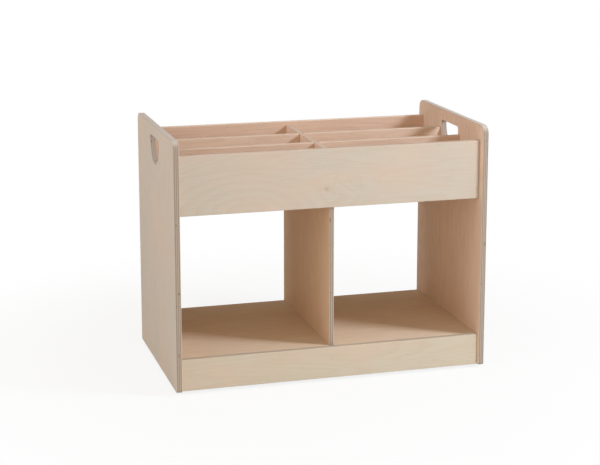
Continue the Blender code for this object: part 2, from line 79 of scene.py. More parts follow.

# %% [markdown]
# Colours are given as sRGB hex values, but shaders work in linear light, so one function converts
# them. A second one adds a shader node, sets its properties, and fills each socket with a value or a
# link. A third starts a material. The nodes could be set up by hand in the shader editor, but in a
# script every number has a name and can be changed for all boards at once.

# %% Colour and node helpers
SMOOTH = {"interpolation_type": "SMOOTHSTEP"}
VECTORS = {"data_type": "VECTOR"}
COLOURS = {"data_type": "RGBA"}
# A Mix node has separate sockets for numbers, vectors and colours
NUMBER_A, NUMBER_B = 2, 3
VECTOR_A, VECTOR_B, VECTOR_OUT = 4, 5, 1
COLOUR_A, COLOUR_B, COLOUR_OUT = 6, 7, 2


def linear(hex_colour):
    """sRGB hex to linear RGBA: c / 12.92 below 0.04045, else ((c + 0.055) / 1.055) ** 2.4."""
    srgb = np.array([int(hex_colour[i:i + 2], 16) for i in (1, 3, 5)]) / 255
    rgb = np.where(srgb <= 0.04045, srgb / 12.92, ((srgb + 0.055) / 1.055) ** 2.4)
    return (*rgb.tolist(), 1.0)


def add(tree, kind, settings=None, inputs=(), out=0):
    """Adds a node to a tree, sets it up, links or fills its sockets and returns one output. The
    inputs are a list in the order of the sockets, or a dict by the sockets' names or numbers."""
    node = tree.nodes.new("ShaderNode" + kind)
    for key, value in (settings or {}).items():
        setattr(node, key, value)
    sockets = inputs if isinstance(inputs, dict) else dict(enumerate(inputs))
    for key, value in sockets.items():
        if isinstance(value, bpy.types.NodeSocket):
            tree.links.new(value, node.inputs[key])
        else:
            node.inputs[key].default_value = value
    return node.outputs[out]


def new_material(name):
    """A material with its tree and its shader, ready for nodes."""
    material = bpy.data.materials.new(name)
    material.use_nodes = True
    tree = material.node_tree
    return material, tree, tree.nodes["Principled BSDF"]


print("white is", linear("#FFFFFF"))

# %% [markdown]
# Birch plywood is a stack of peeled veneers, each glued across the one below, and a cut edge shows
# the stack. The edges could be painted with stripes, but stripes would never meet the faces at the
# rounded arrises. So the material is solid: the distance through the sheet says which ply a point
# is in. A thin dark glue line parts the plies. The line under each face veneer is the clearest.

# %% The stack of plies
MM = 1000.0  # millimetres in a metre
GLUE_MM = 0.5  # a real glue line is about 0.1 mm, and would not show at this distance
CLEAR_GLUE, FAINT_GLUE = 0.9, 0.45
GLUE_CHANGE = (1.6, 1.4)  # plies below a face where the clear line gives way to faint ones
LAST_PLY = 0.001  # keeps the upper face itself in the last ply


def ply_stack(tree, point_mm, axes, sheet_mm, plies):
    """Counts the plies: level = plies * (depth - low) / (high - low), where depth runs along the
    last of the three axes. A ply is the whole part of its level, every second ply is crossed, and
    glue fades away on both sides of a whole level."""
    through = axes[2]
    low, high = sheet_mm
    depth = add(tree, "SeparateXYZ", None, [point_mm], through)
    level = add(tree, "MapRange", None, [depth, low, high, 0.0, plies])
    capped = add(tree, "Math", {"operation": "MINIMUM"}, [level, plies - LAST_PLY])
    ply = add(tree, "Math", {"operation": "FLOOR"}, [capped])
    crossed = add(tree, "Math", {"operation": "MODULO"}, [ply, 2.0])

    off_middle = add(tree, "Math", {"operation": "SUBTRACT"}, [level, plies / 2])
    upper = add(tree, "Math", {"operation": "GREATER_THAN"}, [off_middle, 0.0])
    off_size = add(tree, "Math", {"operation": "ABSOLUTE"}, [off_middle])
    inner = add(tree, "Math", {"operation": "LESS_THAN"}, [off_size, plies / 2 - 1])

    change = [plies / 2 - below for below in GLUE_CHANGE]
    strength = add(tree, "MapRange", None, [off_size, *change, FAINT_GLUE, CLEAR_GLUE])
    off_faces = add(tree, "Clamp", None, [level, 0.5, plies - 0.5])
    to_glue = add(tree, "Math", {"operation": "PINGPONG"}, [off_faces, 0.5])
    reach = GLUE_MM * plies / (high - low)
    glue = add(tree, "MapRange", None, [to_glue, 0.0, reach, strength, 0.0])
    return {"ply": ply, "crossed": crossed, "upper": upper, "inner": inner, "glue": glue}


print("a glue line fades out over", GLUE_MM, "mm on each side")

# %% [markdown]
# A face shows one veneer: faint arcs where the knife cut through the growth rings, fine streaks of
# fibre, a pinkish cast here and there and short dark flecks. Where the log bulged, the arcs run
# round the bulge, and a thin branch leaves a small brown knot. A picture of birch could be wrapped
# round each board, but it would be the same on every one and wouldn't go on through the sheet. So
# each mark is noise, stretched along the fibres of its own ply, and growth rings are the whole
# steps of such a noise, as contour lines are on a map.

# %% The figure of a veneer
NOISES = {  # length along the fibres and width across them in mm, then detail and distortion
    "rings": (420.0, 52.0, 1.0, 0.35),
    "fibre": (90.0, 2.4, 3.0, 0.0),  # real streaks are finer than a pixel here
    "cloud": (260.0, 110.0, 2.0, 0.2),
    "fleck": (11.0, 1.8, 1.0, 0.0),
    "void": (16.0, 16.0, 0.0, 0.0),
}
NOISE_ROUGHNESS = 0.55
PLY_STEP_MM, STEP_SCALE = 61.0, 0.37  # from one ply to the next, the noise jumps to another slice
PLACED_MM = {  # reach along the face grain and across it
    "swell": (300.0, 150.0),
    "knot": (11.0, 11.0),
    "splinter": (6.5, 2.5),
}
OUTSIDE = (0.0, 0.0, -2000.0)  # a place that no board reaches
RINGS, SWELL_RINGS = 9.0, 8.0
SWELL_FADE = (0.7, 1.0)


def veneer_figure(tree, point_mm, axes, stack, shift, places):
    """The patterns of a veneer. A noise is taken at (along / length, across / width, step), so that
    it is stretched along the fibres. A placed mark is a distance, |(point - place) / reach|, which
    is 1 at its rim. A ring is the fraction of RINGS * noise, or near a swell the fraction of
    SWELL_RINGS * distance + noise."""
    grain, cross = axes[:2]
    at = add(tree, "SeparateXYZ", None, [point_mm]).node.outputs
    step = add(tree, "Math", {"operation": "MULTIPLY"}, [stack["ply"], PLY_STEP_MM])
    straight = add(tree, "CombineXYZ", None, [at[grain], at[cross], step])
    swapped = add(tree, "CombineXYZ", None, [at[cross], at[grain], step])
    veneer = add(tree, "Mix", VECTORS,
                 {0: stack["crossed"], VECTOR_A: straight, VECTOR_B: swapped}, VECTOR_OUT)
    veneer = add(tree, "VectorMath", {"operation": "ADD"}, [veneer, shift])

    figure = {}
    for key, (length, width, detail, bend) in NOISES.items():
        scaled = add(tree, "Mapping", None,
                     {"Vector": veneer, "Scale": (1 / length, 1 / width, STEP_SCALE)})
        figure[key] = add(tree, "TexNoise", None, {
            "Vector": scaled, "Scale": 1.0, "Detail": detail, "Roughness": NOISE_ROUGHNESS,
            "Distortion": bend})
    for key, (length, width) in PLACED_MM.items():
        reach = [width] * 3
        reach[grain] = length
        offset = add(tree, "VectorMath", {"operation": "SUBTRACT"},
                     [point_mm, places.get(key, OUTSIDE)])
        offset = add(tree, "VectorMath", {"operation": "DIVIDE"}, [offset, reach])
        figure[key] = add(tree, "VectorMath", {"operation": "LENGTH"}, [offset], "Value")

    rings = add(tree, "Math", {"operation": "MULTIPLY"}, [figure["rings"], RINGS])
    arcs = add(tree, "Math", {"operation": "MULTIPLY_ADD"},
               [figure["swell"], SWELL_RINGS, figure["rings"]])
    near = add(tree, "MapRange", None, [figure["swell"], *SWELL_FADE, 1.0, 0.0])
    count = add(tree, "Mix", None, {0: near, NUMBER_A: rings, NUMBER_B: arcs})
    figure["ring"] = add(tree, "Math", {"operation": "FRACT"}, [count])
    return figure


print("noises:", list(NOISES), "placed marks:", list(PLACED_MM))

# %% [markdown]
# On a cut edge, plies that lie lengthwise stay light, and plies cut across their fibres soak up
# more lacquer and look darker. An inner ply has a gap here and there, where two strips of veneer
# don't meet, and an edge can lose a splinter. Arrises and top edges that face up are made paler:
# partly by sanding and wear, and partly as a painted highlight of the light catching them. These
# parts could be picked out face by face, but the way the surface is turned already tells them
# apart: an edge faces along the sheet, and an arris lies half-way between.

# %% Cut edges
# A turn is the size of a part of the normal, from 0 to 1. A share is how much of a tone shows
EDGE_TURN, EDGE_SHARE = (0.3, 0.9), 0.8
END_GRAIN_SHARE = 0.75
# The pale arris is partly wear and partly a painted highlight along the rounded edges.
ARRIS_TURN, WORN_AND_HIGHLIT_SHARE = 0.5, 0.3
# The paler up-facing top edge is partly sanding and partly a painted highlight of light from above.
TOP_TURN, SANDED_AND_LIT_SHARE, SANDED_AND_LIT_MM = (0.3, 0.8), 0.8, 50.0
VOID_LEVEL = 0.80
SPLINTER_FADE, SPLINTER_SHARE = (0.4, 1.2), 0.7


def cut_edges(tree, point_mm, axes, top_mm, stack, figure):
    """How much of a point is cut edge, end grain, gap, paler top edge and paler arris. Both paler
    marks are partly sanding or wear and partly a painted highlight. turned is the size of each part
    of the normal, and a share rises or falls smoothly with it."""
    grain, cross, through = axes
    normal = add(tree, "TexCoord", out="Normal")
    facing = add(tree, "VectorMath", {"operation": "ABSOLUTE"}, [normal])
    turned = add(tree, "SeparateXYZ", None, [facing]).node.outputs
    edge = add(tree, "MapRange", SMOOTH, [turned[through], *EDGE_TURN, EDGE_SHARE, 0.0])
    ends = add(tree, "Mix", None,
               {0: stack["crossed"], NUMBER_A: turned[grain], NUMBER_B: turned[cross]})
    end_grain = add(tree, "Math", {"operation": "MULTIPLY"}, [ends, END_GRAIN_SHARE])

    hollow = add(tree, "Math", {"operation": "GREATER_THAN"}, [figure["void"], VOID_LEVEL])
    hollow = add(tree, "Math", {"operation": "MULTIPLY"}, [hollow, stack["inner"]])
    splinter = add(tree, "MapRange", SMOOTH,
                   [figure["splinter"], *SPLINTER_FADE, SPLINTER_SHARE, 0.0])
    gap = add(tree, "Math", {"operation": "MAXIMUM"}, [hollow, splinter])

    # Painted highlight, partly sanding: edges that face up near a board's top are made paler.
    up = add(tree, "SeparateXYZ", None, [normal], "Z")
    height = add(tree, "SeparateXYZ", None, [point_mm], "Z")
    upward = add(tree, "MapRange", None, [up, *TOP_TURN, 0.0, SANDED_AND_LIT_SHARE])
    sanded = add(tree, "Math", {"operation": "MULTIPLY"}, [upward, edge])
    near_top = add(tree, "MapRange", None, [height, top_mm - SANDED_AND_LIT_MM, top_mm - SANDED_AND_LIT_MM / 2])
    sanded = add(tree, "Math", {"operation": "MULTIPLY"}, [sanded, near_top])
    # Painted highlight, partly wear: every arris is made paler.
    arris = add(tree, "Math", {"operation": "PINGPONG"}, [turned[through], ARRIS_TURN])
    worn_and_highlit = add(tree, "Math", {"operation": "MULTIPLY"}, [arris, WORN_AND_HIGHLIT_SHARE])
    return {"edge": edge, "end grain": end_grain, "gap": gap, "sanded": sanded, "worn_and_highlit": worn_and_highlit}


print("edges count as top edges in the upper", SANDED_AND_LIT_MM, "mm of a board")

# %% [markdown]
# Now the three come together as one board material: pale birch, rotary cut, sanded and sealed with
# a thin clear lacquer, which looks almost dull and lets the wood's colour through. Every mark is a
# tone laid over the last one, with a share that says how much of it shows. The lacquer follows the
# fibres: a streak stands a little higher and looks a little duller, and the glue lines lie deeper.

# %% Birch plywood
VENEER_MARKS = (  # pattern, where it starts, where it is full, how much shows, tone and slope
    ("ring", 0.35, 0.95, 0.16, "#C2A585", "SMOOTHSTEP"),
    ("fibre", 0.35, 0.75, 0.20, "#B89B7C", "LINEAR"),
    ("cloud", 0.42, 0.70, 0.40, "#D9B9A3", "LINEAR"),
    ("fleck", 0.66, 0.74, 0.25, "#A98663", "LINEAR"),
    ("knot", 1.00, 0.00, 0.30, "#A9774C", "SMOOTHSTEP"),
)
CORE_TONE = "#D2BFAA"
LONG_TONE = "#C5B6A7"
END_TONE = "#9C8B7D"
GLUE_TONE = "#7D685C"
ARRIS_TONE = "#EADBD0"
LACQUER_IOR, LACQUER_SPECULAR = 1.45, 0.12
DULL_FIBRE, LACQUER_ROUGHNESS = (0.3, 0.7), (0.70, 0.82)
RELIEF, RELIEF_MM = 0.15, 0.2


def birch_plywood(name, axes, sheet_mm, top_mm, plies, tones, shift, places):
    """Clear-lacquered plywood. axes are the ways along the face grain, across it and through the
    sheet, which lies between the two levels of sheet_mm. tones are the colours of its lower face,
    its upper face and its top edge, which is at top_mm. shift moves the figure, so that no boards
    match. places says where the log bulged (swell), where a thin branch grew (knot) and where an
    edge has lost a splinter. Each layer gives colour = (1 - share) * colour + share * tone."""
    material, tree, shader = new_material(name)
    point = add(tree, "TexCoord", out="Object")
    point_mm = add(tree, "VectorMath", {"operation": "SCALE"}, {0: point, "Scale": MM})
    stack = ply_stack(tree, point_mm, axes, sheet_mm, plies)
    figure = veneer_figure(tree, point_mm, axes, stack, shift, places)
    cut = cut_edges(tree, point_mm, axes, top_mm, stack, figure)

    layers = [(stack["inner"], CORE_TONE)]
    for key, start, full, most, tone, slope in VENEER_MARKS:
        share = add(tree, "MapRange", {"interpolation_type": slope},
                    [figure[key], start, full, 0.0, most])
        layers.append((share, tone))
    # The top-edge tone and the arris tone are partly painted highlights.
    layers += [(cut["edge"], LONG_TONE), (cut["end grain"], END_TONE), (stack["glue"], GLUE_TONE),
               (cut["gap"], GLUE_TONE), (cut["sanded"], tones[2]), (cut["worn_and_highlit"], ARRIS_TONE)]
    # Where one face looks into a bin or bay, its warmer tone is painted shade.
    colour = add(tree, "Mix", COLOURS, {0: stack["upper"], COLOUR_A: linear(tones[0]),
                                        COLOUR_B: linear(tones[1])}, COLOUR_OUT)
    for share, tone in layers:
        colour = add(tree, "Mix", COLOURS,
                     {0: share, COLOUR_A: colour, COLOUR_B: linear(tone)}, COLOUR_OUT)

    dull = add(tree, "MapRange", None, [figure["fibre"], *DULL_FIBRE, *LACQUER_ROUGHNESS])
    height = add(tree, "Math", {"operation": "SUBTRACT"}, [figure["fibre"], stack["glue"]])
    bump = add(tree, "Bump", None,
               {"Strength": RELIEF, "Distance": RELIEF_MM / MM, "Height": height})
    tree.links.new(colour, shader.inputs["Base Color"])
    tree.links.new(dull, shader.inputs["Roughness"])
    tree.links.new(bump, shader.inputs["Normal"])
    shader.inputs["IOR"].default_value = LACQUER_IOR
    shader.inputs["Specular IOR Level"].default_value = LACQUER_SPECULAR
    return material


print("marks on a veneer:", [mark[0] for mark in VENEER_MARKS])

# %% [markdown]
# Each board gets its own plywood. Its thinnest side is the way through the sheet, and its face
# grain runs along the long boards and up the uprights. The outer faces get pale tones, and the
# faces inside the bins and bays get warmer, browner ones: painted shade, for the warm light that
# bounces round inside them. The sheet's thickness sets the number of plies, which is odd, so that
# both faces run the same way. One plywood for all boards would be shorter, but its figure would run
# on from board to board as if they were cut from one block.

# %% Boards
# The warmer tones of the faces inside the bins and bays are painted shade.
PALE, BIN, BAY = "#CBBFAF", "#EACAB2", "#E1C2A2"
WALL, SHELF, PLINTH = "#EACCB3", "#E2CBB0", "#D0C4AF"
SIDE, ROW = "#C8BDAF", "#F0D4BC"
# Pale top-edge tones: partly sanding, partly a painted highlight of light from above.
SIDE_LIT_TOP, BIN_LIT_TOP = "#E2D6CC", "#E8CDB6"
PLY_MM = 2.15  # real plies are about 1.4 mm, too thin to show here
BOARD_FINISH = {  # axis of the face grain, then the tones of lower face, upper face, top edge
    "left_side_panel": (2, SIDE, WALL, SIDE_LIT_TOP),
    "right_side_panel": (2, WALL, PALE, SIDE_LIT_TOP),
    "front_bin_panel": (0, PALE, BIN, BIN_LIT_TOP),
    "back_bin_panel": (0, BIN, PALE, BIN_LIT_TOP),
    "bin_floor": (0, BAY, BIN, BIN_LIT_TOP),
    "centre_bin_divider": (1, BIN, BIN, BIN_LIT_TOP),
    "front_row_divider": (0, ROW, ROW, BIN_LIT_TOP),
    "back_row_divider": (0, ROW, ROW, BIN_LIT_TOP),
    "centre_partition": (2, BAY, BAY, BAY),
    "base_shelf": (0, SHELF, SHELF, SHELF),
    "front_plinth": (0, PLINTH, SHELF, PLINTH),
    "back_plinth": (0, SHELF, PLINTH, PLINTH),
}
SHIFT_STEP_MM = (530.0, 170.0, 23.0)  # from board to board
PLACES_MM = {
    "front_bin_panel": {"swell": (-215.0, -210.0, 436.0), "knot": (-15.0, -210.0, 488.0)},
    "left_side_panel": {"swell": (-400.0, 40.0, 300.0)},
    "right_side_panel": {"splinter": (396.0, -230.0, 326.5)},
    "centre_partition": {"splinter": (-4.5, -204.7, 408.0)},
}


def finish_node(node, material):
    """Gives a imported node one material, in place of the one it came with."""
    node.data.materials.clear()
    node.data.materials.append(material)


for number, (name, (grain, *tones)) in enumerate(BOARD_FINISH.items()):
    low, high = (MM * np.array(corner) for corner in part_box(name))
    through = int(np.argmin(high - low))
    across = 3 - grain - through  # the axes 0, 1 and 2 add up to 3
    sheet_mm = (low[through], high[through])
    plies = 2 * round((sheet_mm[1] - sheet_mm[0]) / PLY_MM / 2 - 0.5) + 1  # the nearest odd number
    shift = [number * step for step in SHIFT_STEP_MM]
    plywood = birch_plywood(f"birch_plywood_{name}", (grain, across, through), sheet_mm, high[2],
                            plies, tones, shift, PLACES_MM.get(name, {}))
    finish_node(nodes[name], plywood)
    print(name, plies, "plies")

# %% [markdown]
# Under the base shelf the trolley stands on four swivel castors. Their steel is pressed, punched
# and then zinc plated: bright and a little bluish, with cloudy patches from the plating bath. The
# wheels are moulded in grey polypropylene, slightly mottled, with a dull rubber tread that has
# picked up dust. The dowels in the boards are turned beech, full of short dark rays. Each of these
# is one tone, one pattern of marks and a roughness that follows the marks, so one function makes
# all four, and no picture is needed for pieces that are mostly hidden.

# %% Steel, plastic, rubber and beech
MARK_DETAIL = 4.0
MARK_LEVELS, DULL_LEVELS = (0.4, 0.65), (0.35, 0.65)
MARK_RELIEF = 0.3
FINISHES = {  # tone, marks' tone, size in mm, cover, roughness off and on them, relief in mm, metal
    "zinc_plated_steel": ("#C9CDD0", "#A9AEB2", (5, 5, 5), 0.8, (0.24, 0.42), 0.04, 1.0),
    "grey_polypropylene": ("#7B8084", "#6C7175", (1.5, 1.5, 1.5), 0.7, (0.38, 0.52), 0.05, 0.0),
    "grey_rubber_tread": ("#4A4C4E", "#5B5C5C", (2.5, 2.5, 2.5), 0.8, (0.62, 0.85), 0.08, 0.0),
    # real rays are shorter and only a few tenths of a millimetre wide
    "turned_beech": ("#CFA67C", "#9C7048", (9, 1.2, 1.2), 0.7, (0.5, 0.65), 0.05, 0.0),
}


def marked(name, tone, mark_tone, mark_mm, cover, rough, relief_mm, metallic):
    """A material of one tone with marks of another: noise at point / mark_mm, where mark_mm is the
    size of a mark along X, Y and Z. cover is how much a mark hides."""
    material, tree, shader = new_material(name)
    point = add(tree, "TexCoord", out="Object")
    scaled = add(tree, "Mapping", None,
                 {"Vector": point, "Scale": [MM / size for size in mark_mm]})
    marks = add(tree, "TexNoise", None, {"Vector": scaled, "Scale": 1.0, "Detail": MARK_DETAIL})
    share = add(tree, "MapRange", None, [marks, *MARK_LEVELS, 0.0, cover])
    colour = add(tree, "Mix", COLOURS,
                 {0: share, COLOUR_A: linear(tone), COLOUR_B: linear(mark_tone)}, COLOUR_OUT)
    dull = add(tree, "MapRange", None, [marks, *DULL_LEVELS, *rough])
    bump = add(tree, "Bump", None,
               {"Strength": MARK_RELIEF, "Distance": relief_mm / MM, "Height": marks})
    tree.links.new(colour, shader.inputs["Base Color"])
    tree.links.new(dull, shader.inputs["Roughness"])
    tree.links.new(bump, shader.inputs["Normal"])
    shader.inputs["Metallic"].default_value = metallic
    return material


steel, plastic, rubber, beech = (marked(name, *finish) for name, finish in FINISHES.items())
for name, node in nodes.items():
    if name.startswith("dowel"):
        finish_node(node, beech)
    elif name.endswith(("castor_plate", "castor_fork")):
        finish_node(node, steel)
print("finished:", steel.name, plastic.name, rubber.name, beech.name)

# %% [markdown]
# A turned or moulded round piece is a profile swept round an axis, so its surface is a function of
# two parameters: the place along the profile and the angle. Blender's Spin tool could sweep it too,
# but with arrays the wheel's ribs and the screw's recess can be added to the same grid. The
# profile's corners are rounded first, as tools and moulds leave them.

# %% Profiles
TURNS = 96
CORNER_STEPS = 4
CORNER_SHARE = 0.45  # the most of a side that the rounding of one corner may take
SAME_POINT = 1e-7


def rounded(corners, radius, closed):
    """Replaces corner P with the arc of a parabola: (1-t)^2 A + 2t(1-t) P + t^2 B, where A and B
    lie up to radius before and after P on the straight sides."""
    corners = np.array(corners, dtype=float)
    before = np.roll(corners, 1, axis=0) - corners
    after = np.roll(corners, -1, axis=0) - corners
    lengths = [np.linalg.norm(side, axis=1, keepdims=True) for side in (before, after)]
    reach = np.minimum(radius, CORNER_SHARE * np.minimum(*lengths))
    if not closed:
        reach[[0, -1]] = 0.0
    start = corners + before / lengths[0] * reach
    end = corners + after / lengths[1] * reach
    t = np.linspace(0, 1, CORNER_STEPS + 1)[None, :, None]
    arcs = ((1 - t) ** 2 * start[:, None] + 2 * t * (1 - t) * corners[:, None]
            + t ** 2 * end[:, None])
    points = arcs.reshape(-1, 2)
    apart = np.linalg.norm(points - np.roll(points, 1, axis=0), axis=1) > SAME_POINT
    return points[apart]


def both_ends(half):
    """A profile that is the same at both ends: half of it, and its mirror image."""
    return half + [(radius, -height) for radius, height in reversed(half)]


def swept(profile, turns=TURNS):
    """P(i, v) = (r_i cos v, r_i sin v, h_i): profile (r, h) swept round the Z axis."""
    angle = np.linspace(0, 2 * np.pi, turns, endpoint=False)
    radius, height = profile[:, 0, None], profile[:, 1, None]
    return np.stack([radius * np.cos(angle), radius * np.sin(angle),
                     np.broadcast_to(height, (len(profile), turns))], axis=-1)


def along_y(grid, centre):
    """Lays a grid swept round Z along Y: (x, y, z) becomes (x, z, -y), then moves it."""
    return np.stack([grid[..., 0], grid[..., 2], -grid[..., 1]], axis=-1) + centre


print("a round piece has", TURNS, "columns")

# %% [markdown]
# A grid of points becomes a piece when its neighbours are joined by four-sided faces. A ring, such
# as a tyre, closes on itself both ways. A solid piece, such as a pin, starts and ends close to its
# axis and gets a small flat cap there. Weighted normals keep flat faces flat beside the roundings,
# so no finer grid is needed. Each piece rides on a body of the frame and has a named finish.

# %% Meshes
FLAT = np.array([1.0, 1.0, 0.0])  # times a point, this leaves out its height


def middle(name):
    """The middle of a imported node's box: (low + high) / 2."""
    low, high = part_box(name)
    return (np.array(low) + np.array(high)) / 2


def surface(name, grid, closed, body, material):
    """Makes an object of a grid (rows along the profile, columns round the axis). Face (i, j) joins
    the points (i, j), (i+1, j), (i+1, j+1) and (i, j+1). The columns always close. The rows close
    too, or end in flat caps."""
    rows, columns = grid.shape[:2]
    index = np.arange(rows * columns).reshape(rows, columns)
    top = index if closed else index[:-1]
    below = np.roll(index, -1, axis=0) if closed else index[1:]
    quads = np.stack([top, below, np.roll(below, -1, axis=1), np.roll(top, -1, axis=1)], axis=-1)
    faces = quads.reshape(-1, 4).tolist()
    if not closed:
        faces += [index[0].tolist(), index[-1, ::-1].tolist()]
    mesh = bpy.data.meshes.new(name)
    mesh.from_pydata(grid.reshape(-1, 3).tolist(), [], faces)
    mesh.polygons.foreach_set("use_smooth", np.ones(len(faces), dtype=bool))
    mesh.materials.append(material)
    piece = bpy.data.objects.new(name, mesh)
    scene.collection.objects.link(piece)
    piece.modifiers.new("even shading", "WEIGHTED_NORMAL")
    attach(piece, body)
    return piece


print("the first wheel turns round", middle("front_left_tyre").round(4), "m")

# %% [markdown]
# Each wheel has a moulded centre with a hub, a thin web and a rim. The web carries eight ribs on
# each side. They could be boxes joined to it, but a moulding is one surface. So the height of the
# web is raised by a smooth bump in the angle, which fades out at the hub and the rim.

# %% Wheel centres
GAP = 0.0003  # clearance between pieces, as in the frame
TYRE_WIDTH, TYRE_DEPTH = 0.020, 0.0045
HUB_WIDTH, HUB_RADIUS, BORE_RADIUS = 0.021, 0.0094, 0.0044
RIM_WIDTH, RIM_WALL = 0.018, 0.0025
WEB, WEB_STEPS = 0.006, 9
RIBS, RIB_HEIGHT, RIB_SHARE, RIB_FADE = 8, 0.0035, 0.22, 8
MOULD_ROUNDING = 0.0006
SAME_HEIGHT = 1e-5
WHEEL_TURNS = 192


def wheel_core(radius):
    """The centre's grid, with ribs: h = web + rib(v) * fade(r) on both sides of the web. rib is a
    smooth step of cos(8 v), and fade rises from the hub and falls again to the rim."""
    rim = radius - TYRE_DEPTH - GAP
    inside = rim - RIM_WALL
    web = [(r, WEB / 2) for r in np.linspace(HUB_RADIUS, inside, WEB_STEPS)]
    half = [(BORE_RADIUS, HUB_WIDTH / 2), (HUB_RADIUS, HUB_WIDTH / 2), *web,
            (inside, RIM_WIDTH / 2), (rim, RIM_WIDTH / 2)]
    profile = rounded(both_ends(half), MOULD_ROUNDING, True)
    grid = swept(profile, WHEEL_TURNS)
    angle = np.linspace(0, 2 * np.pi, WHEEL_TURNS, endpoint=False)
    rib = np.clip((np.cos(RIBS * angle) - 1 + 2 * RIB_SHARE) / RIB_SHARE, 0, 1)
    rib = rib * rib * (3 - 2 * rib)
    place = np.clip((profile[:, 0] - HUB_RADIUS) / (inside - HUB_RADIUS), 0, 1)
    on_web = np.isclose(np.abs(profile[:, 1]), WEB / 2, atol=SAME_HEIGHT)
    fade = on_web * np.clip(RIB_FADE * place, 0, 1) * np.clip(RIB_FADE * (1 - place), 0, 1)
    grid[..., 2] += RIB_HEIGHT * np.sign(profile[:, 1, None]) * fade[:, None] * rib
    return grid


print("a wheel centre has", RIBS, "ribs on each side, up to", MM * RIB_HEIGHT, "mm high")

# %% [markdown]
# The tread is a ring of rubber bonded round the centre, with shoulders cut off at a slant, so that
# it swivels easily. The axle is a steel pin, riveted over outside both fork legs. The kingpin holds
# the fork to its plate, with a flat head above, and a washer and a riveted end below. All of them
# are turned or moulded, so a profile each is enough.

# %% Tyres, axles and kingpins
TYRE_SHOULDER, TYRE_ROUNDING = 0.003, 0.0025
AXLE_RADIUS, AXLE_HEAD_RADIUS, AXLE_HEAD, AXLE_SEAT = 0.004, 0.0065, 0.0025, 0.0137
AXLE_CROWN = 0.7  # how much of the head's radius is flat
PIN_RADIUS, PIN_HEAD_RADIUS, PIN_HEAD = 0.0045, 0.0075, 0.002
STEEL_ROUNDING = 0.0008
CAP_RADIUS = 0.0003


def tyre(radius):
    """The tread's grid: a rectangle with slanting shoulders, swept round Z."""
    half = [(radius - TYRE_DEPTH, TYRE_WIDTH / 2), (radius - TYRE_SHOULDER, TYRE_WIDTH / 2),
            (radius, TYRE_WIDTH / 2 - TYRE_SHOULDER)]
    return swept(rounded(both_ends(half), TYRE_ROUNDING, True))


def axle():
    """The axle's grid: a shank with a low cone at each end, swept round Z."""
    tip = AXLE_SEAT + AXLE_HEAD
    half = [(CAP_RADIUS, tip), (AXLE_HEAD_RADIUS * AXLE_CROWN, tip), (AXLE_HEAD_RADIUS, AXLE_SEAT),
            (AXLE_RADIUS, AXLE_SEAT)]
    return swept(rounded(both_ends(half), STEEL_ROUNDING, False))


def kingpin(low, high):
    """The kingpin's grid between two heights: a head, a shank, a washer and a slanting end."""
    neck = high - PIN_HEAD
    washer = low + 2 * PIN_HEAD
    profile = [(CAP_RADIUS, high), (PIN_HEAD_RADIUS, high), (PIN_HEAD_RADIUS, neck),
               (PIN_RADIUS, neck), (PIN_RADIUS, washer), (PIN_HEAD_RADIUS, washer),
               (PIN_HEAD_RADIUS, washer - PIN_HEAD), (PIN_RADIUS, low), (CAP_RADIUS, low)]
    return swept(rounded(profile, STEEL_ROUNDING, False))


print("an axle is", 2 * MM * (AXLE_SEAT + AXLE_HEAD), "mm long over its heads")

# %% [markdown]
# The four castors are the same, so a loop makes their round pieces at each corner. Each piece takes
# the place of the faceted solid of its name. The wheel's middle and radius are measured on the
# frame, so that the round tread just touches the floor, and so are the kingpin's ends.

# %% Round castor pieces
CORNERS = [f"{end}_{side}" for end in ("front", "back") for side in ("left", "right")]

for corner in CORNERS:
    centre = middle(f"{corner}_tyre")
    radius = centre[2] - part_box(f"{corner}_tyre")[0][2]
    pin = f"{corner}_castor_kingpin"
    low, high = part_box(pin)
    rounds = {
        "wheel_core": (along_y(wheel_core(radius), centre), True, f"{corner}_wheel", plastic,
                       "wheel_plastic"),
        "tyre": (along_y(tyre(radius), centre), True, f"{corner}_wheel", rubber, "wheel_tread"),
        "castor_axle": (along_y(axle(), centre), False, f"{corner}_fork", steel, "plated_steel"),
        "castor_kingpin": (kingpin(low[2], high[2]) + FLAT * middle(pin), False, "cabinet", steel,
                           "plated_steel"),
    }
    for part, (grid, closed, body, material, slot) in rounds.items():
        piece = surface(f"{corner}_{part}_round", grid, closed, body, material)
        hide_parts(f"{corner}_{part}")
    print(corner, "wheel radius", round(MM * radius, 2), "mm, replaced:", list(rounds))

# %% [markdown]
# Four pan-head screws hold each castor plate to the base shelf. A screw is one more swept profile:
# a low dome, a rim, a shank through the plate's hole and a point in the wood. The cross recess
# could be cut with a boolean, but it is simpler to press it into the dome by moving the points
# that lie inside two crossed slots.

# %% Castor screws
SCREW_SPACING = 0.044
SCREW_CORNERS = ((-1, -1, 0), (1, -1, 0), (1, 1, 0), (-1, 1, 0))
SCREW_HEAD_RADIUS, SCREW_HEAD = 0.0044, 0.0024
SCREW_SHANK_RADIUS, SCREW_LENGTH, SCREW_POINT = 0.0021, 0.0135, 0.004
DOME_ROWS, DOME_SHARE = 22, 0.93  # a dome cut from an ellipse at this share has an upright rim
SCREW_TURNS = 64
RECESS_RADIUS, RECESS_WIDTH, RECESS_DEPTH = 0.0026, 0.0011, 0.0014
PLATE_SHEET = 0.0025


